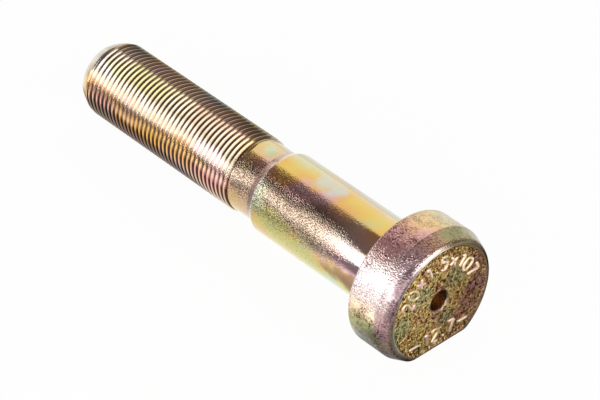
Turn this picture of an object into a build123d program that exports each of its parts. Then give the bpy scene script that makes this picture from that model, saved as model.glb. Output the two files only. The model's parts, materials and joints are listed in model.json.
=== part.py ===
from build123d import *
import os
from math import asin, atan2, cos, degrees, hypot, radians, sin, tan

# Wheel stud with a D-shaped head, a plain fitting shank, a rolling neck and a threaded end.
#
# The stud is one piece of forged and turned steel. It is drawn along its own axis, with the seat under the
# head at the origin and the tip towards +X, and then laid down as it rests on a bench: on the edge where the
# head's flat meets the seat, and on the lower side of the tip. The thread is drawn at its outside diameter.

# Thread, in millimetres
thread_diameter = 20.0
thread_pitch = 1.5
pitch_depth = 0.6495 * thread_pitch  # from the outside diameter to the pitch diameter of a 60 degree thread
thread_start = 50.6  # from the seat to the first full thread
length_under_head = 107.0

# Tip
tip_bevel_length = 4.0
tip_bevel_width = 1.8
tip_edge_radius = 1.6

# Shank and neck; the neck is the rolling blank, so it has the thread's pitch diameter
shank_diameter = 21.6
shank_length = 40.5  # from the seat to the lead-in bevel
lead_in_length = 2.5
neck_diameter = thread_diameter - pitch_depth
run_out_length = thread_pitch
seat_fillet = 1.0

# Head
head_diameter = 34.5
head_height = 12.7
bevel_length = 4.1
bevel_width = 1.6
face_edge_radius = 1.4
rim_radius = 0.7
flat_distance = 13.0  # from the axis to the flat
flat_edge_radius = 0.5

# Centre hole in the end face
hole_diameter = 5.2
hole_depth = 6.0
drill_point_angle = 118.0


def turned_blank():
    """The turned section as corners of x, radius and edge rounding, revolved about the stud's axis."""
    corners = [
        (-head_height, 0, 0),
        (-head_height, head_diameter / 2 - bevel_width, face_edge_radius),
        (bevel_length - head_height, head_diameter / 2, rim_radius),
        (0, head_diameter / 2, rim_radius),
        (0, shank_diameter / 2, seat_fillet),
        (shank_length, shank_diameter / 2, 0),
        (shank_length + lead_in_length, neck_diameter / 2, 0),
        (thread_start - run_out_length, neck_diameter / 2, 0),
        (thread_start, thread_diameter / 2, 0),
        (length_under_head - tip_bevel_length, thread_diameter / 2, 0),
        (length_under_head, thread_diameter / 2 - tip_bevel_width, tip_edge_radius),
        (length_under_head, 0, 0),
    ]
    section = make_face(Polyline([(x, r) for x, r, rounding in corners], close=True))
    for x, r, rounding in corners:
        if rounding:
            section = fillet(section.vertices().sort_by_distance((x, r))[0], rounding)
    return revolve(section, Axis.X)


def flat_cut():
    """The block that is taken off one side of the head to leave its flat, facing -Z."""
    beyond_flat = head_diameter / 2 - flat_distance
    return Pos(0, 0, -flat_distance) * Box(
        head_height, head_diameter, beyond_flat, align=(Align.MAX, Align.CENTER, Align.MAX)
    )


def centre_hole():
    """A blind drilled hole with its point, from the end face into the head."""
    point_length = hole_diameter / 2 / tan(radians(drill_point_angle / 2))
    into_head = Plane(origin=(-head_height, 0, 0), z_dir=(1, 0, 0))
    lowest = (Align.CENTER, Align.CENTER, Align.MIN)
    drilled = Cylinder(hole_diameter / 2, hole_depth, align=lowest)
    point = Pos(0, 0, hole_depth) * Cone(hole_diameter / 2, 0, point_length, align=lowest)
    return into_head * (drilled + point)


def stud_on_axis():
    """The finished stud along X, with the edges of the flat rounded."""
    headed = turned_blank() - flat_cut()
    flat = headed.faces().filter_by(Axis.Z).sort_by(Axis.Z)[0]
    return fillet(flat.edges(), flat_edge_radius) - centre_hole()


def laid_down(stud):
    """The stud at rest: a line from the tip's lower corner touches the rounded seat edge of the flat."""
    tip_reach = length_under_head - tip_bevel_length
    edge_drop = flat_distance - flat_edge_radius - thread_diameter / 2
    edge_reach = tip_reach + flat_edge_radius
    tilt = atan2(edge_drop, edge_reach) + asin(flat_edge_radius / hypot(edge_drop, edge_reach))
    lift = tip_reach * sin(tilt) + thread_diameter / 2 * cos(tilt)
    resting = Pos(0, 0, lift) * Rot(0, degrees(tilt), 0) * stud
    return Pos(-resting.bounding_box().center().X, 0, 0) * resting


os.makedirs("parts", exist_ok=True)
wheel_stud = laid_down(stud_on_axis())
export_step(wheel_stud, "parts/wheel_stud.step")
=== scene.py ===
"""The finished wheel stud: one closed skin with its rolled thread, in yellow zinc, in a white studio."""

import json

import bpy
import numpy as np
from mathutils import Matrix, Vector


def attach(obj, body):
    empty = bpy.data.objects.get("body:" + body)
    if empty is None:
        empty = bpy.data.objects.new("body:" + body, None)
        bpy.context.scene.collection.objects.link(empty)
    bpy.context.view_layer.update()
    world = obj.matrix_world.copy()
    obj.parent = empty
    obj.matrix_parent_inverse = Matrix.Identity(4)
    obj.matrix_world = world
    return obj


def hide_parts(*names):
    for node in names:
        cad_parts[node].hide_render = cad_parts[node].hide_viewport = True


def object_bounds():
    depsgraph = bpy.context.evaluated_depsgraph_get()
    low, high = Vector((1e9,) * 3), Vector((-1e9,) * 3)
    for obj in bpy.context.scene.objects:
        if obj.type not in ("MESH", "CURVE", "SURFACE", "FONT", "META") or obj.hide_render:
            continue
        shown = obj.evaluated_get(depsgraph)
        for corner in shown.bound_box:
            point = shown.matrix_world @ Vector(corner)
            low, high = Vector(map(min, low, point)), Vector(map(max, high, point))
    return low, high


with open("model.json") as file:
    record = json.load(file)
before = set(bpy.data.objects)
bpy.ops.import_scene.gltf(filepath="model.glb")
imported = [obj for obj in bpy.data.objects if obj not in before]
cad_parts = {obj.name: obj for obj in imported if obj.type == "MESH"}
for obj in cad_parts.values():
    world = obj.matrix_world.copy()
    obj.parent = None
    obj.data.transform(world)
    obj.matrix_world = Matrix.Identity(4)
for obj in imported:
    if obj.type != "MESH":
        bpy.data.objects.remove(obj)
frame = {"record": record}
cad_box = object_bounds()

MM = 0.001  # sizes below are in millimetres, the scene is in metres
MOUNTS = {mount["name"]: mount for mount in frame["record"]["mounts"]}


def unit(vector):
    """The same direction with length one."""
    return np.asarray(vector, float) / np.linalg.norm(vector)


# The stud's own axes: along from head to tip, across level, upward away from the head's flat.
ALONG = unit(MOUNTS["shank"]["axis"])
ACROSS = np.array([0.0, 1.0, 0.0])
UPWARD = np.cross(ALONG, ACROSS)
OWN_AXES = np.stack([ALONG, ACROSS, UPWARD])
SHANK_MIDDLE = np.array(MOUNTS["shank"]["pos_m"])


def along_axis(mount):
    """How far a mount lies along the stud's axis from the middle of the shank, in millimetres."""
    return (np.array(MOUNTS[mount]["pos_m"]) - SHANK_MIDDLE) @ ALONG / MM


def off_axis(mount):
    """How far a mount lies from the stud's axis, in millimetres."""
    offset = np.array(MOUNTS[mount]["pos_m"]) - SHANK_MIDDLE
    return np.linalg.norm(offset - (offset @ ALONG) * ALONG) / MM


SHANK_TO_SEAT = along_axis("seat")
SEAT_CENTRE = SHANK_MIDDLE + SHANK_TO_SEAT * MM * ALONG
THREAD_HALF = MOUNTS["thread"]["dims"]["length_mm"] / 2
THREAD_MIDDLE = along_axis("thread") - SHANK_TO_SEAT

# Sizes from the frame; places along the stud are measured from the seat towards the tip
SHANK_RADIUS = MOUNTS["shank"]["dims"]["r_mm"]
THREAD_RADIUS = MOUNTS["thread"]["dims"]["r_mm"]
THREAD_START = THREAD_MIDDLE - THREAD_HALF
TIP_BEVEL_START = THREAD_MIDDLE + THREAD_HALF
FLAT_DISTANCE = off_axis("head_flat")
HEAD_RADIUS = (cad_box[1].y - cad_box[0].y) / 2 / MM

# Head
HEAD_HEIGHT = 12.7
HEAD_BEVEL = (4.1, 1.6)  # along and across
FACE = -HEAD_HEIGHT  # the place of the end face
SHOULDER = FACE + HEAD_BEVEL[0]  # where the bevel meets the side
SHOULDER_ROUND = 0.9
FACE_EDGE = 1.4
RIM_EDGE = 0.7
FLAT_EDGE = 0.5
FLAT_CORNER = 0.5
SEAT_FILLET = 1.0
HOLE_RADIUS = 2.6
HOLE_DEPTH = 6.0
HOLE_POINT = 1.56
HOLE_MOUTH = 0.6
HOLE_BOTTOM = FACE + HOLE_DEPTH

# Forged field of the end face
FACE_DISH = 0.45  # how far the field lies below the rim
FACE_LAND = 0.7  # width of the slope from the rim down to the field
FIELD = FACE + FACE_DISH
WAVE_SEED = 5
WAVE_COUNT = 14
WAVE_LENGTHS = (1.3, 3.6)
WAVE_HEIGHT = 0.016

# Shank, neck, thread and tip
SHANK_LENGTH = 40.5
LEAD_IN = 2.5
LEAD_IN_EDGE = 0.7
PITCH = 1.5
PITCH_DEPTH = 0.6495 * PITCH  # from the outside diameter to the pitch diameter of a 60 degree thread
NECK_RADIUS = THREAD_RADIUS - PITCH_DEPTH / 2
CREST_HALF = 0.06
CREST_ROUND = 0.07
FLANK_SLOPE = 1.28  # depth for each millimetre along
ROOT_ROUND = 0.18
THREAD_DEPTH = (PITCH / 2 - CREST_HALF) * FLANK_SLOPE - ROOT_ROUND
RUN_OUT = 1.2 * PITCH
TIP_BEVEL = (4.0, 1.8)  # along and across
TIP_BEVEL_ROUND = 0.15  # where the thread is cut by the tip's bevel
TIP_EDGE = 1.6
TIP_END = TIP_BEVEL_START + TIP_BEVEL[0]

# How finely the skin is drawn, with the columns closest together at the corners of the flat
ARC_STEPS = 5
FACE_STEPS = 40
SEAT_STEPS = 6
HOLE_RUN = 1.2
HEAD_RUN = 0.8
SHANK_RUN = 2.5
THREAD_PHASES = np.array([0, 0.035, 0.075, 0.19, 0.31, 0.405, 0.5, 0.595, 0.69, 0.81, 0.925, 0.965])
NECK_GAP = 0.2  # from the neck's last ring to the helix
TIP_GAP = 0.48  # from the end of the helix to the tip's first ring
TIP_SHARES = (0.75, 0.5, 0.25)  # rings on the tip's end, as shares of its radius
HALF_TURN = np.radians(
    np.concatenate([np.linspace(0, 28, 10)[:-1], np.linspace(28, 46, 19)[:-1], np.linspace(46, 180, 46)])
)
TURN = np.concatenate([-HALF_TURN[:0:-1], HALF_TURN[:-1]])  # round the axis from the middle of the flat
COLUMNS = len(TURN)


def rounded_line(corners):
    """A line of straight runs with its corners rounded; a corner is two places and a radius.

    Each arc touches both of its runs, and its points are the two radii to the touching points, mixed by the
    sines of the turn before and after, which keeps them on the circle in equal steps.
    """
    line = [np.array([corners[0][:2]], float)]
    for before, here, after in zip(corners, corners[1:], corners[2:]):
        corner = np.array(here[:2], float)
        back, on = unit(np.subtract(before[:2], corner)), unit(np.subtract(after[:2], corner))
        half = np.arccos(np.clip(back @ on, -1, 1)) / 2
        if here[2] == 0:
            line.append(corner[None])
            continue
        centre = corner + unit(back + on) * here[2] / np.sin(half)
        first = corner + back * here[2] / np.tan(half) - centre
        last = corner + on * here[2] / np.tan(half) - centre
        turn = np.pi - 2 * half
        step = np.linspace(0, 1, ARC_STEPS + 1)[:, None]
        line.append(centre + (np.sin((1 - step) * turn) * first + np.sin(step * turn) * last) / np.sin(turn))
    line.append(np.array([corners[-1][:2]], float))
    return np.concatenate(line)


def divided(line, longest):
    """The same line with extra points, so that no run is longer than the given length."""
    runs = np.linalg.norm(np.diff(line, axis=0), axis=1)
    pieces = np.maximum(1, np.ceil(runs / longest - 1e-9)).astype(int)
    stops = np.concatenate([[0.0], np.repeat(1 / pieces, pieces).cumsum()])
    whole = np.arange(len(line))
    return np.stack([np.interp(stops, whole, line[:, 0]), np.interp(stops, whole, line[:, 1])], axis=1)


def lesser(first, second, blend):
    """The lesser of two values, with the change from one to the other rounded over the blend width."""
    near = np.maximum(blend - np.abs(first - second), 0)
    return np.minimum(first, second) - near**2 / (4 * blend)


def smooth_step(value):
    """Zero below 0, one above 1, and an even S-shaped rise between."""
    inside = np.clip(value, 0, 1)
    return inside**2 * (3 - 2 * inside)


def turned(line):
    """Rings round the axis: every point of the line keeps its place along and its radius at every angle."""
    shape = (len(line), COLUMNS)
    return np.broadcast_to(line[:, :1], shape), np.broadcast_to(line[:, 1:], shape)


def one_ring(block, row):
    """One ring of a block: its places along and its radii."""
    return block[0][row], block[1][row]


def with_flat(line):
    """Rings of the head: the radius is the turned one, or that of the flat where the flat is nearer the axis.

    The flat lies at its distance divided by the cosine of the angle from its middle. Its distance draws in
    along a quarter circle at the seat and at the end face, which rounds its edges.
    """
    least_cosine = 0.05
    along, radius = turned(line)
    inside = np.clip(FLAT_EDGE - np.minimum(along + HEAD_HEIGHT, -along), 0, FLAT_EDGE)
    distance = FLAT_DISTANCE - FLAT_EDGE + np.sqrt(FLAT_EDGE**2 - inside**2)
    return along, lesser(radius, distance / np.maximum(np.cos(TURN), least_cosine), FLAT_CORNER)


def forged_relief(across, upward):
    """Height of the forged field's waves in millimetres: plane waves in many directions, added up."""
    draw = np.random.default_rng(WAVE_SEED)
    heading = draw.uniform(0, 2 * np.pi, WAVE_COUNT)
    length = draw.uniform(*WAVE_LENGTHS, WAVE_COUNT)
    start = draw.uniform(0, 2 * np.pi, WAVE_COUNT)
    travel = across[..., None] * np.cos(heading) + upward[..., None] * np.sin(heading)
    return WAVE_HEIGHT * np.sin(2 * np.pi * travel / length + start).sum(axis=-1)


def face_rings(inner, outer):
    """Rings on the end face from the hole's mouth to the rim.

    The radius goes in even steps from one to the other. The field lies below the rim by the dish, with the
    forged waves on it, and rises to the rim on an S-shaped slope. The waves fade over the third by the hole.
    """
    share = np.linspace(0, 1, FACE_STEPS + 1)[1:-1, None]
    radius = inner[1] + (outer[1] - inner[1]) * share
    sunk = smooth_step((outer[1] - radius) / FACE_LAND)
    waves = forged_relief(radius * np.sin(TURN), -radius * np.cos(TURN)) * smooth_step(3 * share)
    return outer[0] + sunk * (FACE_DISH + waves), radius


def head_rings():
    """Rings from the point of the centre hole over the end face, the bevel and the rim to the seat."""
    beside_hole = HOLE_RADIUS + 1
    hole = rounded_line(
        [
            (HOLE_BOTTOM + HOLE_POINT, 0, 0),
            (HOLE_BOTTOM, HOLE_RADIUS, 0),
            (FIELD, HOLE_RADIUS, HOLE_MOUTH),
            (FIELD, beside_hole, 0),
        ]
    )[:-1]
    side = rounded_line(
        [
            (FACE, beside_hole, 0),
            (FACE, HEAD_RADIUS - HEAD_BEVEL[1], FACE_EDGE),
            (SHOULDER, HEAD_RADIUS, SHOULDER_ROUND),
            (0, HEAD_RADIUS, RIM_EDGE),
            (0, SHANK_RADIUS + SEAT_FILLET, 0),
        ]
    )[1:-1]
    hole_block = turned(divided(hole, HOLE_RUN)[1:])
    side_block = with_flat(divided(side, HEAD_RUN))
    return [hole_block, face_rings(one_ring(hole_block, -1), one_ring(side_block, 0)), side_block]


TIP_EDGE_RUN = rounded_line(
    [
        (TIP_BEVEL_START, THREAD_RADIUS, 0),
        (TIP_END, THREAD_RADIUS - TIP_BEVEL[1], TIP_EDGE),
        (TIP_END, 0, 0),
    ]
)[1:-1]
RUN_OUT_TURNS = 3  # added before the first full thread
THREAD_TURNS = int((TIP_EDGE_RUN[0, 0] - THREAD_START) / PITCH) + RUN_OUT_TURNS
HELIX_START = TIP_EDGE_RUN[0, 0] - TIP_GAP - (THREAD_TURNS + 1) * PITCH


def shank_rings(seat_edge):
    """Rings from the seat over its fillet, along the shank and down the lead-in bevel to the neck.

    The rings on the seat itself go in even steps from the rim of the head to the fillet.
    """
    line = rounded_line(
        [
            (0, SHANK_RADIUS + 2 * SEAT_FILLET, 0),
            (0, SHANK_RADIUS, SEAT_FILLET),
            (SHANK_LENGTH, SHANK_RADIUS, LEAD_IN_EDGE),
            (SHANK_LENGTH + LEAD_IN, NECK_RADIUS, LEAD_IN_EDGE),
            (HELIX_START - NECK_GAP, NECK_RADIUS, 0),
        ]
    )[1:]
    rings = turned(divided(line, SHANK_RUN))
    share = np.linspace(0, 1, SEAT_STEPS + 1)[1:-1, None]
    seat = tuple(start + (stop - start) * share for start, stop in zip(seat_edge, one_ring(rings, 0)))
    return [seat, rings]


def thread_form(phase):
    """Depth below the crest at a phase of the thread, where 0 and 1 are crests and 0.5 is a root.

    The flanks are straight slopes from the crest's edge down, the crest's edges are rounded a little, and the
    whole root is one round hollow.
    """
    from_crest = np.abs(phase - np.round(phase)) * PITCH
    flank = (from_crest - CREST_HALF) * FLANK_SLOPE
    raised = -lesser(-flank, np.zeros_like(flank), CREST_ROUND)
    return lesser(raised, np.full_like(flank, THREAD_DEPTH), ROOT_ROUND)


def tip_bevel_radius(along):
    """Radius of the tip's bevel at a place along the stud: it falls evenly from the thread's outside."""
    return THREAD_RADIUS - (along - TIP_BEVEL_START) * TIP_BEVEL[1] / TIP_BEVEL[0]


def thread_rows():
    """Rows along the helix: each row keeps its phase of the thread and moves one pitch along in one turn.

    The radius is the thread's form, faded in from the neck over the run-out, and at most the tip's bevel.
    """
    turns = np.arange(THREAD_TURNS)[:, None] + THREAD_PHASES
    phase = np.append(turns.ravel(), THREAD_TURNS)[:, None]
    along = HELIX_START + PITCH * (phase + (TURN + np.pi) / (2 * np.pi))
    risen = smooth_step((along - THREAD_START + PITCH) / RUN_OUT)
    radius = NECK_RADIUS + risen * (THREAD_RADIUS - thread_form(phase) - NECK_RADIUS)
    return along, lesser(radius, tip_bevel_radius(along), TIP_BEVEL_ROUND)


def tip_rings():
    """Rings round the tip's edge and in over its end."""
    end = np.array([[TIP_END, TIP_EDGE_RUN[-1, 1] * share] for share in TIP_SHARES])
    return turned(np.concatenate([TIP_EDGE_RUN, end]))


def stacked(blocks):
    """Several blocks of rings as one, with points in the order along, across, upward, in millimetres."""
    along = np.concatenate([block[0] for block in blocks])
    radius = np.concatenate([block[1] for block in blocks])
    return np.stack([along, radius * np.sin(TURN), -radius * np.cos(TURN)], axis=-1)


def closed(numbers):
    """A grid of point numbers with its first column repeated after the last."""
    return np.concatenate([numbers, numbers[:, :1]], axis=1)


def ring_faces(numbers):
    """Squares between the neighbouring rows and columns of a grid of point numbers."""
    corners = [numbers[:-1, :-1], numbers[1:, :-1], numbers[1:, 1:], numbers[:-1, 1:]]
    return np.stack(corners, -1).reshape(-1, 4)


def stud_skin():
    """The stud's points and faces as one closed skin.

    Rings are closed by repeating their first column after the last. A row of the helix is closed with the
    start of the row one pitch further on. The wedges between the helix and the rings beside it end in a fan.
    """
    head = head_rings()
    body = stacked(head + shank_rings(one_ring(head[-1], -1)))
    helix = stacked([thread_rows()])
    tip = stacked([tip_rings()])
    poles = np.array([[HOLE_BOTTOM + HOLE_POINT, 0, 0], [TIP_END, 0, 0]])
    points = np.concatenate([block.reshape(-1, 3) for block in (body, helix, tip, poles)])

    first = np.cumsum([0] + [len(block) * COLUMNS for block in (body, helix, tip)])
    body_numbers, helix_numbers, tip_numbers = (
        np.arange(start, stop).reshape(-1, COLUMNS) for start, stop in zip(first, first[1:])
    )
    hole_pole, tip_pole = first[3], first[3] + 1

    pitch_rows = len(THREAD_PHASES)
    seam = np.concatenate([helix_numbers[:-pitch_rows], helix_numbers[pitch_rows:, :1]], axis=1)
    squares = np.concatenate(
        [
            ring_faces(closed(body_numbers)),
            ring_faces(np.stack([body_numbers[-1], helix_numbers[0]])),
            ring_faces(helix_numbers),
            ring_faces(seam[:, -2:]),
            ring_faces(np.stack([helix_numbers[-1], tip_numbers[0]])),
            ring_faces(closed(tip_numbers)),
        ]
    )
    neck_fan = np.concatenate([body_numbers[-1, [-1, 0]], helix_numbers[: pitch_rows + 1, 0]])
    tip_fan = np.concatenate([helix_numbers[-pitch_rows - 1 :, -1], tip_numbers[0, [-1, 0]]])
    fans = [
        (hole_pole, closed(body_numbers[:1])[0]),
        (tip_pole, closed(tip_numbers[-1:])[0][::-1]),
        (helix_numbers[0, -1], neck_fan[::-1]),
        (helix_numbers[-1, 0], tip_fan),
    ]
    triangles = [np.stack([np.full(len(rim) - 1, top), rim[:-1], rim[1:]], -1) for top, rim in fans]
    return points, squares.tolist() + np.concatenate(triangles).tolist()


def placed(points):
    """Points from the stud's own axes in millimetres to the frame in metres."""
    return SEAT_CENTRE + MM * points @ OWN_AXES


def new_object(name, data):
    """A new object in the scene, at the origin, for a mesh, a lamp or a camera."""
    made = bpy.data.objects.new(name, data)
    bpy.context.scene.collection.objects.link(made)
    return made


def mesh_object(name, points, faces):
    """A smooth-shaded mesh object at the origin, from points in the stud's own axes and their faces."""
    mesh = bpy.data.meshes.new(name)
    mesh.from_pydata(placed(points), [], faces, shade_flat=False)
    mesh.validate()
    return new_object(name, mesh)


def groove_share(points):
    """How deep each point lies below the thread's crest, as a share of the thread's depth."""
    bare_tip = 1.0
    along, radius = points[:, 0], np.hypot(points[:, 1], points[:, 2])
    crest = np.minimum(THREAD_RADIUS, tip_bevel_radius(along))
    threaded = smooth_step((along - THREAD_START + PITCH) / PITCH) * (along < TIP_END - bare_tip)
    return np.clip((crest - radius) / THREAD_DEPTH, 0, 1) * threaded


def forged_share(points):
    """One on the end face's forged field, falling to zero on the slope to the rim and in the hole's mouth."""
    slope_start, slope_depth, deepest, mouth_lip = 0.03, 0.15, 1.2, 0.1
    depth, radius = points[:, 0] + HEAD_HEIGHT, np.hypot(points[:, 1], points[:, 2])
    edge_reach = FACE_EDGE * np.tan(np.pi / 4 - np.arctan2(HEAD_BEVEL[1], HEAD_BEVEL[0]) / 2)
    inside_rim = radius < HEAD_RADIUS - HEAD_BEVEL[1] - edge_reach
    above_flat = points[:, 2] > FLAT_EDGE - FLAT_DISTANCE
    from_hole = smooth_step((radius - HOLE_RADIUS - mouth_lip) / HOLE_MOUTH)
    sunk = smooth_step((depth - slope_start) / slope_depth)
    return sunk * from_hole * (inside_rim & above_flat & (depth < deepest))


def hole_share(points):
    """One inside the centre hole, and zero elsewhere."""
    near = 0.01
    depth, radius = points[:, 0] + HEAD_HEIGHT, np.hypot(points[:, 1], points[:, 2])
    below_mouth = depth > FACE_DISH + HOLE_MOUTH - near
    return (radius < HOLE_RADIUS + near) & below_mouth & (depth < HEAD_HEIGHT)


points, faces = stud_skin()
stud = mesh_object("wheel_stud_finished", points, faces)

# One number for each point of the stud, for its material to read
for name, share_of in (("groove", groove_share), ("forged", forged_share), ("hole", hole_share)):
    layer = stud.data.attributes.new(name, "FLOAT", "POINT")
    layer.data.foreach_set("value", share_of(points).astype(np.float32))

# Raised figures on the end face: thread size round the top and the height of the head along the flat.
# A figure is a list of strokes, in a cell one high. A stroke's smooth line passes through its points.
FIGURES = {
    "0": [
        [
            (0.30, 1), (0.05, 0.8), (0.0, 0.5), (0.05, 0.2), (0.30, 0),
            (0.55, 0.2), (0.6, 0.5), (0.55, 0.8), (0.30, 1),
        ],
    ],
    "1": [[(0.12, 0.76), (0.34, 1)], [(0.34, 1), (0.34, 0)]],
    "2": [
        [(0.02, 0.74), (0.12, 0.95), (0.33, 1), (0.54, 0.88), (0.5, 0.62), (0.24, 0.3), (0, 0)],
        [(0, 0), (0.6, 0)],
    ],
    "5": [
        [(0.55, 1), (0.1, 1)],
        [(0.1, 1), (0.06, 0.56)],
        [(0.06, 0.56), (0.3, 0.63), (0.54, 0.5), (0.56, 0.22), (0.34, 0), (0, 0.08)],
    ],
    "7": [[(0.02, 1), (0.58, 1)], [(0.58, 1), (0.36, 0.5), (0.22, 0)]],
    "x": [[(0.02, 0.1), (0.6, 0.76)], [(0.02, 0.76), (0.6, 0.1)]],
    ".": [[(0.04, 0.1), (0.28, 0.1)]],
    "-": [[(0.0, 0.5), (0.9, 0.5)]],
}
UPPER_ROW = "20x1.5x107"
LOWER_ROW = "-12.7-"
FIGURE_HEIGHT = 3.6
FIGURE_STEP = {".": 1.9, "1": 2.6, "-": 4.6}  # how far along the next figure starts, in millimetres
PLAIN_STEP = 3.15
FIGURE_GAP = 0.9
STROKE_WIDTH = 0.95
STROKE_RISE = 0.42
STROKE_SIDES = 10
POINTS_PER_STOP = 8
ARC_RADIUS = 8.9  # of the upper row's foot
LOWER_FOOT = -11.2  # of the lower row, below the axis


def smooth_path(stops):
    """Points on a smooth line through the stops: each span is a cubic, and its end slopes join the next."""
    stops = np.array(stops, float)
    slopes = np.gradient(stops, axis=0)
    place = np.linspace(0, len(stops) - 1, POINTS_PER_STOP * len(stops))
    span = np.minimum(place.astype(int), len(stops) - 2)
    part = (place - span)[:, None]
    start, stop = stops[span], stops[span + 1]
    leaving = part * (1 - part) ** 2 * slopes[span]
    arriving = part**2 * (1 - part) * slopes[span + 1]
    return start + (stop - start) * smooth_step(part) + leaving - arriving


def raised_stroke(path):
    """A closed ridge on the end face: an ellipse carried along a path, drawn in to a point at both ends.

    The ellipse is as wide as the stroke and twice as tall as its rise. Its lower half is sunk in the field.
    """
    heading = np.gradient(path, axis=0)
    heading /= np.linalg.norm(heading, axis=1)[:, None]
    sideways = np.stack([-heading[:, 1], heading[:, 0]], axis=1)
    run = np.concatenate([[0], np.cumsum(np.linalg.norm(np.diff(path, axis=0), axis=1))])
    inset = np.clip(1 - np.minimum(run, run[-1] - run) / (STROKE_WIDTH / 2), 0, 1)
    taper = np.sqrt(1 - inset**2)[:, None]
    angle = np.linspace(0, 2 * np.pi, STROKE_SIDES, endpoint=False)
    offset = taper * np.cos(angle) * STROKE_WIDTH / 2
    height = taper * np.sin(angle) * STROKE_RISE
    reading = path[:, None, :] + offset[..., None] * sideways[:, None, :]
    return np.stack([FIELD - height, -reading[..., 0], reading[..., 1]], axis=-1)


def row_places(text):
    """Where each figure of a row starts, with the whole row centred on zero."""
    steps = np.array([FIGURE_STEP.get(figure, PLAIN_STEP) for figure in text])
    return np.concatenate([[0], np.cumsum(steps)[:-1]]) - (steps.sum() - FIGURE_GAP) / 2


def straight_row(path, start):
    """A figure's path set along the lower row."""
    return path * FIGURE_HEIGHT + np.array([start, LOWER_FOOT])


def curved_row(path, start):
    """A figure's path bent round the upper row: its width becomes a turn and its height a radius."""
    turn = (start + path[:, 0] * FIGURE_HEIGHT) / (ARC_RADIUS + FIGURE_HEIGHT / 2)
    radius = ARC_RADIUS + path[:, 1] * FIGURE_HEIGHT
    return np.stack([radius * np.sin(turn), radius * np.cos(turn)], axis=1)


def figure_ridges(text, bend):
    """The ridges of one row of figures."""
    return [
        raised_stroke(bend(smooth_path(stroke), start))
        for figure, start in zip(text, row_places(text))
        for stroke in FIGURES[figure]
    ]


def joined_tubes(tubes):
    """The points and squares of several tubes as one set, with each tube closed round its path."""
    first = 0
    squares = []
    for tube in tubes:
        numbers = first + np.arange(tube.shape[0] * tube.shape[1]).reshape(tube.shape[:2])
        squares.append(ring_faces(closed(numbers)))
        first += numbers.size
    return np.concatenate([tube.reshape(-1, 3) for tube in tubes]), np.concatenate(squares).tolist()


ridges = figure_ridges(UPPER_ROW, curved_row) + figure_ridges(LOWER_ROW, straight_row)
figures = mesh_object("raised_figures", *joined_tubes(ridges))


class Nodes:
    """A small helper that adds nodes and links them. Colours are given as red, green and blue."""

    def __init__(self, owner):
        owner.use_nodes = True
        self.tree = owner.node_tree
        self.tree.nodes.clear()

    def fill(self, found, value):
        """Links an input to a socket, or sets it to a number, a vector or a colour."""
        if isinstance(value, bpy.types.NodeSocket):
            self.tree.links.new(value, found)
        elif found.type == "RGBA":
            found.default_value = (*value, 1)
        else:
            found.default_value = value

    def add(self, kind, settings=None, inputs=(), **named):
        """A node of a kind with its settings, and with its inputs filled in their order or by their names."""
        node = self.tree.nodes.new("ShaderNode" + kind)
        for name, value in (settings or {}).items():
            setattr(node, name, value)
        for found, value in zip(node.inputs, inputs):
            self.fill(found, value)
        for name, value in named.items():
            self.fill(node.inputs[name.replace("_", " ")], value)
        return node

    def math(self, operation, *values):
        """One step of arithmetic on sockets and numbers."""
        return self.add("Math", {"operation": operation}, values).outputs[0]

    def product(self, first, second):
        """Two numbers multiplied."""
        return self.math("MULTIPLY", first, second)

    def scaled(self, value, factor, offset):
        """A number times a factor, with an offset added."""
        return self.math("MULTIPLY_ADD", value, factor, offset)

    def noise(self, place, **settings):
        """A noise from zero to one."""
        return self.add("TexNoise", Vector=place, **settings).outputs["Fac"]

    def attribute(self, name):
        """A number that the piece's points carry."""
        return self.add("Attribute", {"attribute_name": name}).outputs["Fac"]

    def ranged(self, value, low, high, low_result=0.0, high_result=1.0, shape="SMOOTHSTEP"):
        """A value carried from one range to another, on an S-shaped rise or evenly, and held at both ends."""
        limits = {"From_Min": low, "From_Max": high, "To_Min": low_result, "To_Max": high_result}
        return self.add("MapRange", {"interpolation_type": shape}, Value=value, **limits).outputs["Result"]

    def ramp(self, value, stops):
        """A colour ramp from a value. A stop is a position with a colour, or with one level of grey."""
        node = self.add("ValToRGB", Fac=value)
        elements = node.color_ramp.elements
        while len(elements) < len(stops):
            elements.new(0.5)
        for element, (position, *colour) in zip(elements, stops):
            element.position = position
            element.color = (*(np.ones(3) * colour), 1)
        return node.outputs["Color"]

    def mixed(self, share, first, second, mode="MIX"):
        """Two colours mixed by a share."""
        node = self.add("Mix", {"data_type": "RGBA", "blend_type": mode})
        shown = {socket.name: socket for socket in node.inputs if socket.enabled}
        for name, value in (("Factor", share), ("A", first), ("B", second)):
            self.fill(shown[name], value)
        return next(socket for socket in node.outputs if socket.enabled)

    def oval(self, place, middle, reach):
        """One at the middle of an oval, falling evenly to zero at its edge. Sizes are in millimetres."""
        middle, reach = np.array(middle, float), np.array(reach, float)
        inside = self.add("Mapping", Vector=place, Scale=1 / (reach * MM), Location=-middle / reach)
        sphere = {"gradient_type": "SPHERICAL"}
        return self.add("TexGradient", sphere, Vector=inside.outputs["Vector"]).outputs["Fac"]

    def bump(self, height, strength, distance, **below):
        """A normal that follows a height, so many millimetres high, over the normal below it, if any."""
        sizes = {"Strength": strength, "Distance": distance * MM}
        return self.add("Bump", Height=height, **sizes, **below).outputs["Normal"]


def own_place(make):
    """Object coordinates turned into the stud's own axes, with the seat's centre at zero."""
    own_axes = Matrix(OWN_AXES.tolist())
    return make.add(
        "Mapping",
        Vector=make.add("TexCoord").outputs["Object"],
        Location=own_axes @ Vector(-SEAT_CENTRE),
        Rotation=own_axes.to_euler(),
    ).outputs["Vector"]


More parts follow.
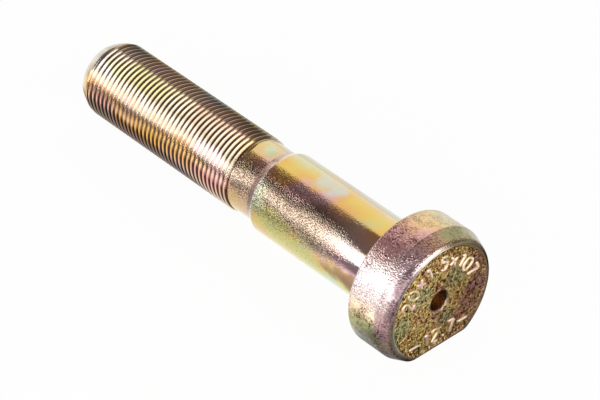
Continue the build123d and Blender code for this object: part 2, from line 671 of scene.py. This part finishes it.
class StudNodes(Nodes):
    """Nodes of the stud's own finish, with its place along the axis and round it as sockets.

    The angle round the axis is swayed by a slow noise, so that no tint ends on a straight line.
    """

    def __init__(self, owner):
        super().__init__(owner)
        self.place = own_place(self)
        self.axes = self.add("SeparateXYZ", Vector=self.place).outputs
        self.length_share = self.ranged(self.axes["X"], FACE * MM, TIP_END * MM, shape="LINEAR")
        turn = self.math("ARCTAN2", self.axes["Z"], self.axes["Y"])
        sway = self.noise(self.place, Scale=60.0, Detail=1.0)
        swayed = self.scaled(self.math("SUBTRACT", sway, 0.5), SWAY, turn)
        self.turn_share = self.scaled(turn, 1 / (2 * np.pi), 0.5)
        self.swayed_share = self.scaled(swayed, 1 / (2 * np.pi), 0.5)
        self.ragged = self.noise(self.place, Scale=210.0, Detail=3.0)
        clusters = self.noise(self.place, Scale=330.0, Detail=3.0, Roughness=0.7)
        self.clustered = self.ramp(clusters, [(0.42, 0.15), (0.6, 1)])

    def along(self, *stops):
        """A ramp along the stud, whose stops are given by their distance from the seat in millimetres."""
        places = [((distance - FACE) / (TIP_END - FACE), *tint) for distance, *tint in stops]
        return self.ramp(self.length_share, places)

    def around(self, *stops, back=(), swayed=True):
        """A ramp round the axis, whose stops are given by their angle.

        Angles are in degrees upward from the level side at +Y. Where a colour is given for the back, both
        ends of the ramp meet there in it.
        """
        if back:
            stops = ((-180, *back), *stops, (180, *back))
        places = [(angle / 360 + 0.5, *tint) for angle, *tint in stops]
        return self.ramp(self.swayed_share if swayed else self.turn_share, places)


# Single stains of the plating, and patches of painted shade: distance from the seat, angle round the axis,
# reach along and round, colour
PLATING_STAINS_AND_SHADE = [
    (26, 97, (7, 4), (0.52, 0.62, 0.56)),
    (37, 116, (9, 4.5), (0.60, 0.60, 0.40)),
    (10, 122, (13, 4), (0.62, 0.62, 0.46)),
    (46.8, 90, (5, 9), (0.64, 0.55, 0.22)),
    (46.5, 96, (2.6, 3), (0.52, 0.62, 0.46)),
    (44.6, 88, (2.2, 3), (0.42, 0.54, 0.30)),
    (48.2, 84, (2.2, 2.5), (0.68, 0.42, 0.34)),
    (45, 70, (2.5, 3), (0.36, 0.44, 0.26)),
    (34, 12, (9, 4), (0.45, 0.44, 0.17)),
    (39, 30, (4, 6), (0.46, 0.50, 0.34)),
    (8, 18, (10, 2.5), (0.66, 0.40, 0.46)),
    # painted shade: the next two dark patches stand in for the head's dark reflection on the shank beside it
    (4, -2, (13, 3.8), (0.16, 0.09, 0.04)),
    (9, 3, (9, 3.2), (0.26, 0.15, 0.09)),
    (56, 8, (10, 5), (0.86, 0.40, 0.44)),
    (98, 10, (8, 5), (0.86, 0.46, 0.42)),
    (78, 4, (12, 4), (0.90, 0.50, 0.10)),
    (86, 74, (14, 5), (0.44, 0.44, 0.17)),
    (66, 84, (11, 4), (0.48, 0.32, 0.22)),
    (97, 66, (8, 4), (0.56, 0.56, 0.30)),
    (58, 34, (9, 4), (0.82, 0.60, 0.60)),
]

# Stains on the head's side and bevel, with patches of painted shade among them, given in the same way
HEAD_STAINS_AND_SHADE = [
    # partly olive plating, partly painted shade: the next two dark patches darken the head's lower side
    (-3, -8, (5, 4), (0.33, 0.34, 0.14)),
    (-8, -9, (4, 4), (0.27, 0.29, 0.12)),
    (-10.8, 2, (2.6, 7), (0.62, 0.39, 0.43)),
    # painted shadow: the next two dark patches lie on the bevel along the rim's edge
    (-11.9, 22, (1.9, 7), (0.22, 0.14, 0.16)),
    (-11.9, 42, (1.8, 7), (0.24, 0.16, 0.18)),
    (-4, 66, (5, 6), (0.94, 0.57, 0.54)),
    (-7.5, 82, (3, 4), (0.72, 0.44, 0.40)),
    (-10.5, 108, (3, 5), (0.29, 0.31, 0.15)),
    (-4.5, 100, (4, 5), (0.84, 0.63, 0.30)),
]

# Green stains of the forged field: radius, angle, reach
FIELD_STAINS = [(7.5, 138, 5.5), (7.0, 38, 4.5), (12.5, -6, 4.5), (6.0, -110, 3.5)]
MARK_RAGGED = 1.8  # how far the noise moves the edge of a stain or of a patch of painted shade
MARK_COVER = 0.75  # the most that a stain or a patch of painted shade covers
SWAY = 0.9  # how far the noise moves a tint round the axis, in radians

# Single colours of the finish, and of painted shade and highlight
PALE_TIP = (0.68, 0.65, 0.53)
# painted shade on the shoulder
SHOULDER_SHADE = (0.24, 0.14, 0.13)
LEAD_IN_PINK = (0.50, 0.33, 0.27)
# painted highlight on the lead-in edge
EDGE_HIGHLIGHT = (0.80, 0.78, 0.77)
# painted shade in the grooves, and on the next line a black painted shadow under them
GROOVE_SHADE = (0.25, 0.17, 0.11)
UNDERSIDE_SHADOW = (0.06, 0.035, 0.03)
FIELD_GREEN = (0.44, 0.58, 0.33)
# darkens the field towards its -Y side
FIELD_BLACK = (0.05, 0.035, 0.025)
HOLE_BROWN = (0.42, 0.26, 0.12)

# Heights of the grain's bumps, in millimetres
GRAIN_HEIGHT = 0.11
BLAST_HEIGHT = 0.21
PIT_HEIGHT = 0.9
WORN_HEIGHT = 0.1


def mark_share(make, distance, radius, angle, reach):
    """How much a stain or a patch of painted shade covers: an oval at a distance, radius and angle, with its
    edge moved by the noise.
    """
    turn = np.radians(angle)
    middle = (distance, radius * np.cos(turn), radius * np.sin(turn))
    oval = make.oval(make.place, middle, (reach[0], reach[1], reach[1]))
    moved = make.scaled(make.math("SUBTRACT", make.ragged, 0.5), MARK_RAGGED, oval)
    return make.product(make.ranged(moved, 0.05, 0.7, 0.0, MARK_COVER), make.ranged(oval, 0.0, 0.3))


def with_stains_and_shade(make, colour, stains, radius):
    """A colour with single stains and patches of painted shade laid over it, one after the other."""
    for distance, angle, reach, stain in stains:
        colour = make.mixed(mark_share(make, distance, radius, angle, reach), colour, stain)
    return colour


def plating_patches(make):
    """Cloudy patches of the plating: a slow noise that goes from green over gold to pink and violet."""
    drift = make.noise(make.place, Scale=75.0, Detail=1.5, Roughness=0.5, Distortion=0.5)
    return make.ramp(
        drift,
        [
            (0.32, 0.42, 0.60, 0.58), (0.39, 0.54, 0.60, 0.24), (0.46, 0.69, 0.53, 0.13),
            (0.54, 0.69, 0.42, 0.14), (0.62, 0.66, 0.40, 0.36), (0.70, 0.54, 0.42, 0.56),
        ],
    )


def shank_colour(make, patches):
    """The shank: a tint round it with painted light and shade, patches on top and below, and a painted shade
    strip.
    """
    # The tint is partly the plating's own hue and partly painted highlight and shade: it is darkened near 46
    # degrees and at the far edge.
    tint = make.around(
        (-45, 0.66, 0.62, 0.42), (-25, 0.59, 0.54, 0.25), (-5, 0.54, 0.45, 0.15),
        (10, 0.57, 0.43, 0.22), (21, 0.60, 0.43, 0.36), (36, 0.64, 0.60, 0.58),
        (46, 0.45, 0.40, 0.39), (62, 0.60, 0.41, 0.33), (74, 0.60, 0.34, 0.15),
        (90, 0.65, 0.45, 0.12), (104, 0.67, 0.53, 0.22), (120, 0.68, 0.61, 0.40),
        (138, 0.42, 0.41, 0.34),
        back=(0.62, 0.54, 0.30),
    )
    patched = make.around((0, 0.5), (25, 0.15), (55, 0.15), (80, 0.6), (98, 0.6), (114, 0.25))
    # Painted shade: a browner strip over the lit side, from 10 mm to the thread, which dims and narrows the
    # highlight.
    facing = make.around((12, 0), (22, 1), (58, 1), (68, 0))
    dimmed_stretch = make.along((10, 0), (20, 0.85), (THREAD_START - 0.6, 0.85), (THREAD_START + 1.4, 0))
    brown = make.around(
        (23, 0.26, 0.20, 0.14), (32, 0.50, 0.39, 0.28), (39, 0.50, 0.39, 0.28),
        (46, 0.40, 0.31, 0.21), (54, 0.20, 0.16, 0.11),
    )
    return make.mixed(make.product(facing, dimmed_stretch), make.mixed(patched, tint, patches), brown)


def thread_colour(make, patches):
    """The thread: a tint round it, partly plating and partly painted highlight and shade, a trace of the
    patches, and a paler tip.
    """
    patch_trace = 0.2
    # Painted light in the tint: the orange band and the dark line at 23 degrees copy reflections, and the far
    # edge is painted shade.
    tint = make.around(
        (-30, 0.72, 0.60, 0.52), (-8, 0.66, 0.50, 0.42), (4, 0.92, 0.48, 0.18),
        (17, 0.98, 0.54, 0.22), (23, 0.48, 0.27, 0.17), (27, 0.60, 0.49, 0.41),
        (34, 0.45, 0.39, 0.35), (45, 0.64, 0.56, 0.50), (55, 0.37, 0.33, 0.28),
        (66, 0.53, 0.45, 0.39), (85, 0.58, 0.47, 0.36), (98, 0.58, 0.43, 0.32),
        (112, 0.30, 0.24, 0.18), (122, 0.16, 0.13, 0.11),
        back=(0.66, 0.50, 0.34),
    )
    tip = make.along((TIP_BEVEL_START + 1, 0), (TIP_BEVEL_START + 2.5, 0.7))
    return make.mixed(tip, make.mixed(patch_trace, tint, patches), PALE_TIP)


def head_side(make, patches):
    """The head's side: a tint round it, partly plating and partly painted highlight and shade, with a trace
    of the patches.
    """
    patch_trace = 0.15
    # Painted light in the tint: dark from -15 to -4 degrees as painted shade, near white from 18 to 48
    # degrees as a painted highlight.
    tint = make.around(
        (-30, 0.78, 0.76, 0.62), (-15, 0.36, 0.33, 0.20), (-4, 0.26, 0.23, 0.11),
        (3, 0.62, 0.52, 0.34), (8, 0.84, 0.70, 0.48), (18, 0.96, 0.80, 0.70),
        (28, 0.96, 0.86, 0.84), (48, 0.98, 0.88, 0.88), (58, 1.0, 0.74, 0.70),
        (70, 1.0, 0.64, 0.56), (80, 0.76, 0.46, 0.36), (90, 0.74, 0.46, 0.31),
        (98, 0.76, 0.55, 0.29), (106, 0.80, 0.65, 0.32), (118, 0.78, 0.69, 0.44),
        (135, 0.64, 0.61, 0.52),
        back=(0.60, 0.52, 0.36),
    )
    return make.mixed(patch_trace, tint, patches)


def with_bevel(make, colour):
    """The head's colour with the tint of its bevel, from the end face's edge to the shoulder: partly plating,
    partly painted light.
    """
    on_bevel = make.along((FACE + 0.1, 0.1), (FACE + 0.7, 0.75), (SHOULDER - 0.3, 0.75), (SHOULDER + 0.2, 0))
    # Painted light in the tint: dark at the bottom as painted shade, pale near 48 degrees as the highlight
    # running onto the bevel.
    tint = make.around(
        (-30, 0.40, 0.29, 0.22), (-10, 1.0, 0.68, 0.54), (10, 0.86, 0.58, 0.50),
        (28, 0.68, 0.57, 0.57), (48, 0.98, 0.82, 0.82), (70, 1.0, 0.70, 0.60),
        (84, 0.56, 0.38, 0.24), (100, 0.30, 0.25, 0.11), (115, 0.30, 0.29, 0.13),
        (130, 0.50, 0.46, 0.30), (150, 0.46, 0.42, 0.32), (168, 0.22, 0.18, 0.12),
        back=(0.26, 0.22, 0.14),
    )
    return make.mixed(on_bevel, colour, tint)


def with_shoulder_shade(make, colour):
    """The head's colour with a thin line of painted shade along the upper part of the shoulder."""
    risen = make.ranged(make.axes["X"], (SHOULDER - 0.35) * MM, (SHOULDER - 0.05) * MM)
    fallen = make.ranged(make.axes["X"], SHOULDER * MM, (SHOULDER + 0.3) * MM, 1.0, 0.0)
    upper = make.around((52, 0), (66, 0.55), (112, 0.5), (128, 0))
    return make.mixed(make.product(make.product(risen, fallen), upper), colour, SHOULDER_SHADE)


def with_rim_reflection(make, colour):
    """The head's colour with painted reflections on the rim round the end face: dark, and a pale painted
    highlight along its top.
    """
    on_rim = make.along((FACE + 0.25, 0.95), (FACE + 0.6, 0))
    tint = make.around(
        (-60, 0.14, 0.10, 0.06), (-10, 0.20, 0.12, 0.10), (12, 0.20, 0.12, 0.11),
        (42, 0.15, 0.10, 0.10), (60, 0.76, 0.69, 0.63), (85, 0.76, 0.66, 0.54),
        (100, 0.24, 0.19, 0.13), (125, 0.06, 0.045, 0.03),
        back=(0.05, 0.035, 0.02),
    )
    return make.mixed(on_rim, colour, tint)


def with_specks(make, colour):
    """The head's colour darkened by specks, which gather in clusters, at some angles and near the rim."""
    sides = make.around(
        (-60, 0.6), (-6, 1), (10, 0.8), (22, 0.2), (42, 0.2), (54, 0.85), (74, 0.85), (90, 0.3), (120, 0.2)
    )
    near_rim = make.product(make.along((FACE + 0.3, 0.9), (FACE + 2.9, 0)), make.around((60, 1), (85, 0.2)))
    gathered = make.scaled(make.clustered, 0.65, 0.35)
    amount = make.product(make.math("MAXIMUM", sides, near_rim), gathered)
    pepper = make.noise(make.place, Scale=2000.0, Detail=2.0, Roughness=0.6)
    specks = make.ramp(pepper, [(0.40, 0.13, 0.04, 0.08), (0.49, 0.62, 0.46, 0.53), (0.54, 1)])
    return make.mixed(amount, colour, specks, "MULTIPLY")


def with_crest_highlight(make, colour):
    """The head's colour with a painted highlight line on the edge of the end face, wider where the light
    falls on it.
    """
    line = make.ranged(make.axes["X"], (FACE + 0.005) * MM, (FACE + 0.06) * MM, 0.95, 0.0)
    wider = make.along((FACE + 0.15, 0.95), (FACE + 0.25, 0))
    lit = make.around((-48, 0), (-30, 0.5), (-4, 0.4), (12, 0), (46, 0), (56, 1), (80, 1), (90, 0))
    tint = make.around(
        (-58, 0.20, 0.15, 0.10), (-42, 0.42, 0.35, 0.26), (-28, 1.0, 0.91, 0.72),
        (4, 1.0, 0.90, 0.72), (20, 0.48, 0.42, 0.38), (44, 0.48, 0.42, 0.38),
        (58, 0.92, 0.86, 0.78), (90, 0.90, 0.82, 0.70), (105, 0.20, 0.16, 0.10),
        back=(0.16, 0.12, 0.08),
    )
    return make.mixed(make.math("MAXIMUM", line, make.product(wider, lit)), colour, tint)


def head_colour(make, patches):
    """The head: side and bevel with stains and painted shade, then the painted shoulder shade, rim
    reflections and crest highlight, and specks.
    """
    colour = with_bevel(make, head_side(make, patches))
    colour = with_stains_and_shade(make, colour, HEAD_STAINS_AND_SHADE, HEAD_RADIUS)
    for laid_over in (with_shoulder_shade, with_rim_reflection, with_specks, with_crest_highlight):
        colour = laid_over(make, colour)
    return colour


def with_lead_in(make, colour):
    """The colour with a pink lead-in bevel, and with a pale painted highlight line along its edge to the
    shank.
    """
    edge, foot = SHANK_LENGTH, SHANK_LENGTH + LEAD_IN
    on_bevel = make.along((edge + 0.3, 0), (edge + 0.8, 0.75), (foot - 0.2, 0.75), (foot + 0.3, 0))
    on_edge = make.along((edge - 0.4, 0), (edge, 0.8), (edge + 0.3, 0.8), (edge + 0.6, 0))
    return make.mixed(on_edge, make.mixed(on_bevel, colour, LEAD_IN_PINK), EDGE_HIGHLIGHT)


def with_groove_shade(make, colour):
    """The colour with painted shade in the thread's grooves, less in the light, and a black painted shadow in
    the grooves underneath.
    """
    groove = make.attribute("groove")
    sheltered = make.around((20, 1), (28, 0.6), (47, 0.45), (55, 1))
    underneath = make.around((-180, 0), (-100, 1), (5, 1), (14, 0))
    colour = make.mixed(make.product(make.ranged(groove, 0.38, 0.85), sheltered), colour, GROOVE_SHADE)
    return make.mixed(make.product(make.ranged(groove, 0.2, 0.48), underneath), colour, UNDERSIDE_SHADOW)


def field_colour(make, coarse):
    """The forged field: clouds of gold, brown and green that lean across it, green stains and dark pits."""
    lean = -5.0  # how fast the clouds change across the field, for each metre
    green_cover = 0.75
    cloud = make.noise(make.place, Scale=230.0, Detail=4.0, Roughness=0.85)
    colour = make.ramp(
        make.scaled(make.axes["Y"], lean, cloud),
        [
            (0.34, 0.42, 0.49, 0.29), (0.42, 0.90, 0.72, 0.25), (0.50, 0.98, 0.69, 0.29),
            (0.57, 0.76, 0.45, 0.24), (0.66, 0.56, 0.30, 0.30),
        ],
    )
    for radius, angle, reach in FIELD_STAINS:
        covered = mark_share(make, FIELD, radius, angle, (reach, reach))
        colour = make.mixed(make.product(covered, green_cover), colour, FIELD_GREEN)
    pits = make.ramp(coarse, [(0.40, 0.17, 0.10, 0.07), (0.47, 0.63, 0.53, 0.46), (0.54, 1)])
    # The field grows darker towards its -Y side, up to half black.
    darkened_to_minus_y = make.ranged(make.axes["Y"], -13 * MM, 12 * MM, 0.5, 0.0)
    return make.mixed(darkened_to_minus_y, make.mixed(1.0, colour, pits, "MULTIPLY"), FIELD_BLACK)


def grain_share(make, forged):
    """How strong the fine grain is along the stud and round it, with clusters on the head."""
    field_grain = 0.5
    lengthwise = make.along(
        (FACE + 0.03, 0.05), (FACE + 0.3, 0.75), (-0.2, 0.75), (0.6, 0.03), (5, 0.05), (13, 0.6), (24, 1),
        (THREAD_START - 0.6, 1), (THREAD_START + 1.4, 0.15),
    )
    sides = make.around(
        (-30, 0.15), (-14, 0.4), (2, 0.8), (18, 1), (56, 1), (70, 0.5), (80, 0.08), (130, 0.06),
        back=(0.5,), swayed=False,
    )
    sides = make.mixed(make.along((-1, 1), (0, 0)), sides, make.clustered)
    return make.math("MAXIMUM", make.product(lengthwise, sides), make.product(forged, field_grain))


def head_grain(make):
    """How strong the coarser blasted grain is: only on the head, and most in the clusters."""
    on_head = make.along((FACE + 0.03, 0), (FACE + 0.3, 1), (-0.5, 1), (0, 0))
    return make.product(on_head, make.scaled(make.clustered, 0.6, 0.4))


def gloss_and_sheen(make):
    """How rough the metal is along the stud, and how much it mirrors at a grazing angle."""
    gloss = make.along(
        (FACE + 0.03, 0.12), (FACE + 0.3, 0.28), (-0.2, 0.28), (1, 0.10), (12, 0.12), (34, 0.13),
        (THREAD_START - 0.6, 0.13), (THREAD_START + 2.4, 0.16),
    )
    sheen = make.along(
        (FACE + 0.4, 0.12), (FACE + 1.3, 1), (THREAD_START - 0.6, 1), (THREAD_START + 2.4, 0.55),
        (TIP_BEVEL_START, 0.55), (TIP_BEVEL_START + 2, 1),
    )
    return {"Roughness": gloss, "Specular_Tint": sheen}


def zinc_material():
    """Yellow-passivated zinc: a metal whose tint drifts between gold, green and pink, with a fine grain.

    Tint, grain and gloss change along the stud and round it; the tint round it is partly painted highlight
    and shade.
    Single stains and patches of painted shade lie on the plating, and specks on the head. The thread's
    grooves carry painted shade, the head's rim and crest and the lead-in edge carry painted highlights, and
    the forged field of the end face is dark and coarse.
    """
    zinc = bpy.data.materials.new("yellow_zinc")
    make = StudNodes(zinc)
    patches = plating_patches(make)
    forged = make.attribute("forged")
    coarse = make.noise(make.place, Scale=1600.0, Detail=2.0, Roughness=0.6)
    blasted = make.noise(make.place, Scale=2500.0, Detail=1.0)
    fine = make.noise(make.place, Scale=3800.0, Detail=0.0)
    grained = grain_share(make, forged)

    on_thread = make.along((THREAD_START - 1.6, 0), (THREAD_START + 2.4, 1))
    on_head = make.along((-0.6, 1), (0.1, 0))
    colour = make.mixed(on_thread, shank_colour(make, patches), thread_colour(make, patches))
    colour = with_stains_and_shade(make, colour, PLATING_STAINS_AND_SHADE, SHANK_RADIUS)
    colour = make.mixed(on_head, colour, head_colour(make, patches))
    colour = with_groove_shade(make, with_lead_in(make, colour))
    colour = make.mixed(forged, colour, field_colour(make, coarse))
    speck = make.ramp(fine, [(0.34, 0.38, 0.33, 0.32), (0.46, 0.82, 0.80, 0.80), (0.56, 1)])
    colour = make.mixed(grained, colour, speck, "MULTIPLY")
    colour = make.mixed(make.attribute("hole"), colour, HOLE_BROWN)

    grain = make.bump(fine, grained, GRAIN_HEIGHT)
    grain = make.bump(blasted, head_grain(make), BLAST_HEIGHT, Normal=grain)
    pitted = make.bump(coarse, forged, PIT_HEIGHT, Normal=grain)
    surface = {"Base_Color": colour, "Metallic": 1.0, "Normal": pitted, **gloss_and_sheen(make)}
    make.add("OutputMaterial", Surface=make.add("BsdfPrincipled", **surface).outputs["BSDF"])
    return zinc


def worn_zinc_material():
    """The raised figures: a gold paler than the field, drifting a little, with a grain of its own."""
    worn = bpy.data.materials.new("worn_yellow_zinc")
    make = Nodes(worn)
    place = own_place(make)
    drift = make.noise(place, Scale=420.0, Detail=2.0)
    golds = [(0.35, 0.66, 0.54, 0.30), (0.5, 0.80, 0.62, 0.43), (0.65, 0.80, 0.58, 0.47)]
    colour = make.ramp(drift, golds)
    fine = make.noise(place, Scale=2200.0, Detail=2.0)
    grain = make.bump(fine, strength=0.3, distance=WORN_HEIGHT)
    surface = {"Base_Color": colour, "Metallic": 1.0, "Roughness": 0.38, "Normal": grain}
    make.add("OutputMaterial", Surface=make.add("BsdfPrincipled", **surface).outputs["BSDF"])
    return worn


stud.data.materials.append(zinc_material())
figures.data.materials.append(worn_zinc_material())

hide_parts("wheel_stud")
for piece in (stud, figures):
    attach(piece, "root")

# Camera, in the stud's own axes
IMAGE = (600, 400)
FOCAL = 2796.13  # pixels
SENSOR_WIDTH = 36
SEAT_PIXEL = (402.257, 275.494)
SEAT_DEPTH = 639.2
CAMERA_TURN = np.radians(-132.03)
CAMERA_RISE = np.radians(38.22)
NEAREST, FURTHEST = 0.05, 20  # metres


def matrix_of(axes, place):
    """The matrix of an object whose three axes are the given rows, at a place."""
    matrix = np.eye(4)
    matrix[:3, :3] = axes.T
    matrix[:3, 3] = place
    return Matrix(matrix.tolist())


def camera_matrix():
    """The camera's place and axes in the frame, from its direction off the stud and the seat's pixel."""
    level, rise = np.cos(CAMERA_RISE), np.sin(CAMERA_RISE)
    back = np.array([np.sin(CAMERA_TURN) * level, -np.cos(CAMERA_TURN) * level, rise])
    right = np.array([np.cos(CAMERA_TURN), np.sin(CAMERA_TURN), 0])
    axes = np.stack([right, np.cross(back, right), back])
    ray = np.array([(SEAT_PIXEL[0] - IMAGE[0] / 2) / FOCAL, -(SEAT_PIXEL[1] - IMAGE[1] / 2) / FOCAL, -1])
    return matrix_of(axes @ OWN_AXES, placed(-SEAT_DEPTH * ray @ axes))


camera = new_object("camera", bpy.data.cameras.new("camera"))
camera.data.sensor_width = SENSOR_WIDTH
camera.data.lens = FOCAL * SENSOR_WIDTH / IMAGE[0]
camera.data.clip_start, camera.data.clip_end = NEAREST, FURTHEST
camera.matrix_world = camera_matrix()
bpy.context.scene.camera = camera

# Floor, with ovals given by middle along from the seat and across, and by reach along and across
FLOOR_REACH = 4.0  # metres
FLOOR_GREY = (0.9, 0.9, 0.9)
FLOOR_WHITE = 0.96  # how much of the floor is plain white to the camera
GLOW_REACH = 100
GLOW = [(-60, 0.84), (-10, 1), (32, 1), (52, 0.5), (64, 0.32), (100, 0.25)]  # place across, level
GLOW_STRENGTH = 1.2
BRIGHT_OVAL = (8, 44), (38, 26)
BRIGHT_LEVEL = 1.4
THREAD_SHADE = (88, 0), (38, 27)
THREAD_SHADE_LEVEL = 0.34
HEAD_SHADE = (-18, 15), (24, 32)
HEAD_SHADE_LEVEL = 0.31
OVAL_HEIGHT = 1000  # far more than the floor's own


def floor_oval(make, place, middle, reach):
    """One at the middle of an oval on the floor, falling evenly to zero at its edge."""
    return make.oval(place, (SEAT_CENTRE[0] / MM + middle[0], middle[1], 0), (*reach, OVAL_HEIGHT))


def floor_material():
    """A matte white floor, which the camera sees as white with a trace of the stud's shadow.

    Metal sees it glow, most in an oval beside the shank and less further out, and sees a painted shadow of
    the stud near the thread and the head, as dark ovals in that glow.
    """
    white = bpy.data.materials.new("white_floor")
    make = Nodes(white)
    rays = make.add("LightPath").outputs
    place = make.add("TexCoord").outputs["Object"]
    across = make.add("SeparateXYZ", Vector=place).outputs["Y"]
    glow = make.ramp(
        make.ranged(across, -GLOW_REACH * MM, GLOW_REACH * MM, shape="LINEAR"),
        [((side / GLOW_REACH + 1) / 2, level) for side, level in GLOW],
    )
    by_thread = make.ranged(floor_oval(make, place, *THREAD_SHADE), 0.02, 0.24, 1.0, THREAD_SHADE_LEVEL)
    by_head = make.ranged(floor_oval(make, place, *HEAD_SHADE), 0.02, 0.3, 1.0, HEAD_SHADE_LEVEL)
    lightened = make.scaled(floor_oval(make, place, *BRIGHT_OVAL), BRIGHT_LEVEL, glow)
    shaded = make.product(lightened, make.math("MINIMUM", by_thread, by_head))
    mirrored = make.math("MAXIMUM", rays["Is Glossy Ray"], rays["Is Transmission Ray"])
    share = make.scaled(rays["Is Camera Ray"], FLOOR_WHITE, mirrored)
    strength = make.scaled(mirrored, make.product(shaded, GLOW_STRENGTH), rays["Is Camera Ray"])
    matte = make.add("BsdfDiffuse", Color=FLOOR_GREY).outputs["BSDF"]
    lit = make.add("Emission", Strength=strength).outputs["Emission"]
    mix = make.add("MixShader", inputs=(share, matte, lit))
    make.add("OutputMaterial", Surface=mix.outputs["Shader"])
    return white


floor_mesh = bpy.data.meshes.new("floor")
floor_corners = [(x * FLOOR_REACH, y * FLOOR_REACH, 0) for x, y in ((-1, -1), (1, -1), (1, 1), (-1, 1))]
floor_mesh.from_pydata(floor_corners, [], [(0, 1, 2, 3)])
floor = new_object("floor", floor_mesh)
floor_mesh.materials.append(floor_material())

# Lamps: turn from +X and rise above the floor in degrees; distance, width and height in metres; radiance
LAMPS = {
    "front_softbox": (51, 17.5, 0.8, 0.75, 0.38, 2.7),
    "fill_softbox": (110, 18, 0.8, 1.12, 0.46, 2.4),
    "side_softbox": (179, 23, 0.8, 1.08, 0.66, 2.3),
    "end_card": (0, 8, 0.8, 0.7, 0.25, 1.0),
    "backdrop": (-62, 33, 1.0, 1.37, 1.25, 0.97),
}
LAMP_AIM = np.array([0, 0, 15 * MM])
DIM_ROOM = (0.25, 0.19, 0.20)
WHITE = (1, 1, 1)


def soft_lamp(name, turn, rise, distance, width, height, radiance):
    """A rectangular lamp that faces the stud from a direction given as turn and rise."""
    turn, rise = np.radians(turn), np.radians(rise)
    away = np.array([np.cos(rise) * np.cos(turn), np.cos(rise) * np.sin(turn), np.sin(rise)])
    level = np.array([-np.sin(turn), np.cos(turn), 0])
    lamp = new_object(name, bpy.data.lights.new(name, "AREA"))
    lamp.data.shape = "RECTANGLE"
    lamp.data.size, lamp.data.size_y = width, height
    lamp.data.energy = radiance * np.pi * width * height
    lamp.matrix_world = matrix_of(np.stack([level, np.cross(away, level), away]), away * distance + LAMP_AIM)


def studio_world():
    """The room round the stud: dim to the metal, and white to the camera."""
    world = bpy.data.worlds.new("studio")
    make = Nodes(world)
    dim = make.add("Background", Color=DIM_ROOM).outputs["Background"]
    plain = make.add("Background", Color=WHITE).outputs["Background"]
    seen = make.add("LightPath").outputs["Is Camera Ray"]
    mix = make.add("MixShader", inputs=(seen, dim, plain))
    make.add("OutputWorld", Surface=mix.outputs["Shader"])
    return world


for name, setting in LAMPS.items():
    soft_lamp(name, *setting)
bpy.context.scene.world = studio_world()
bpy.context.scene.view_settings.view_transform = "Standard"
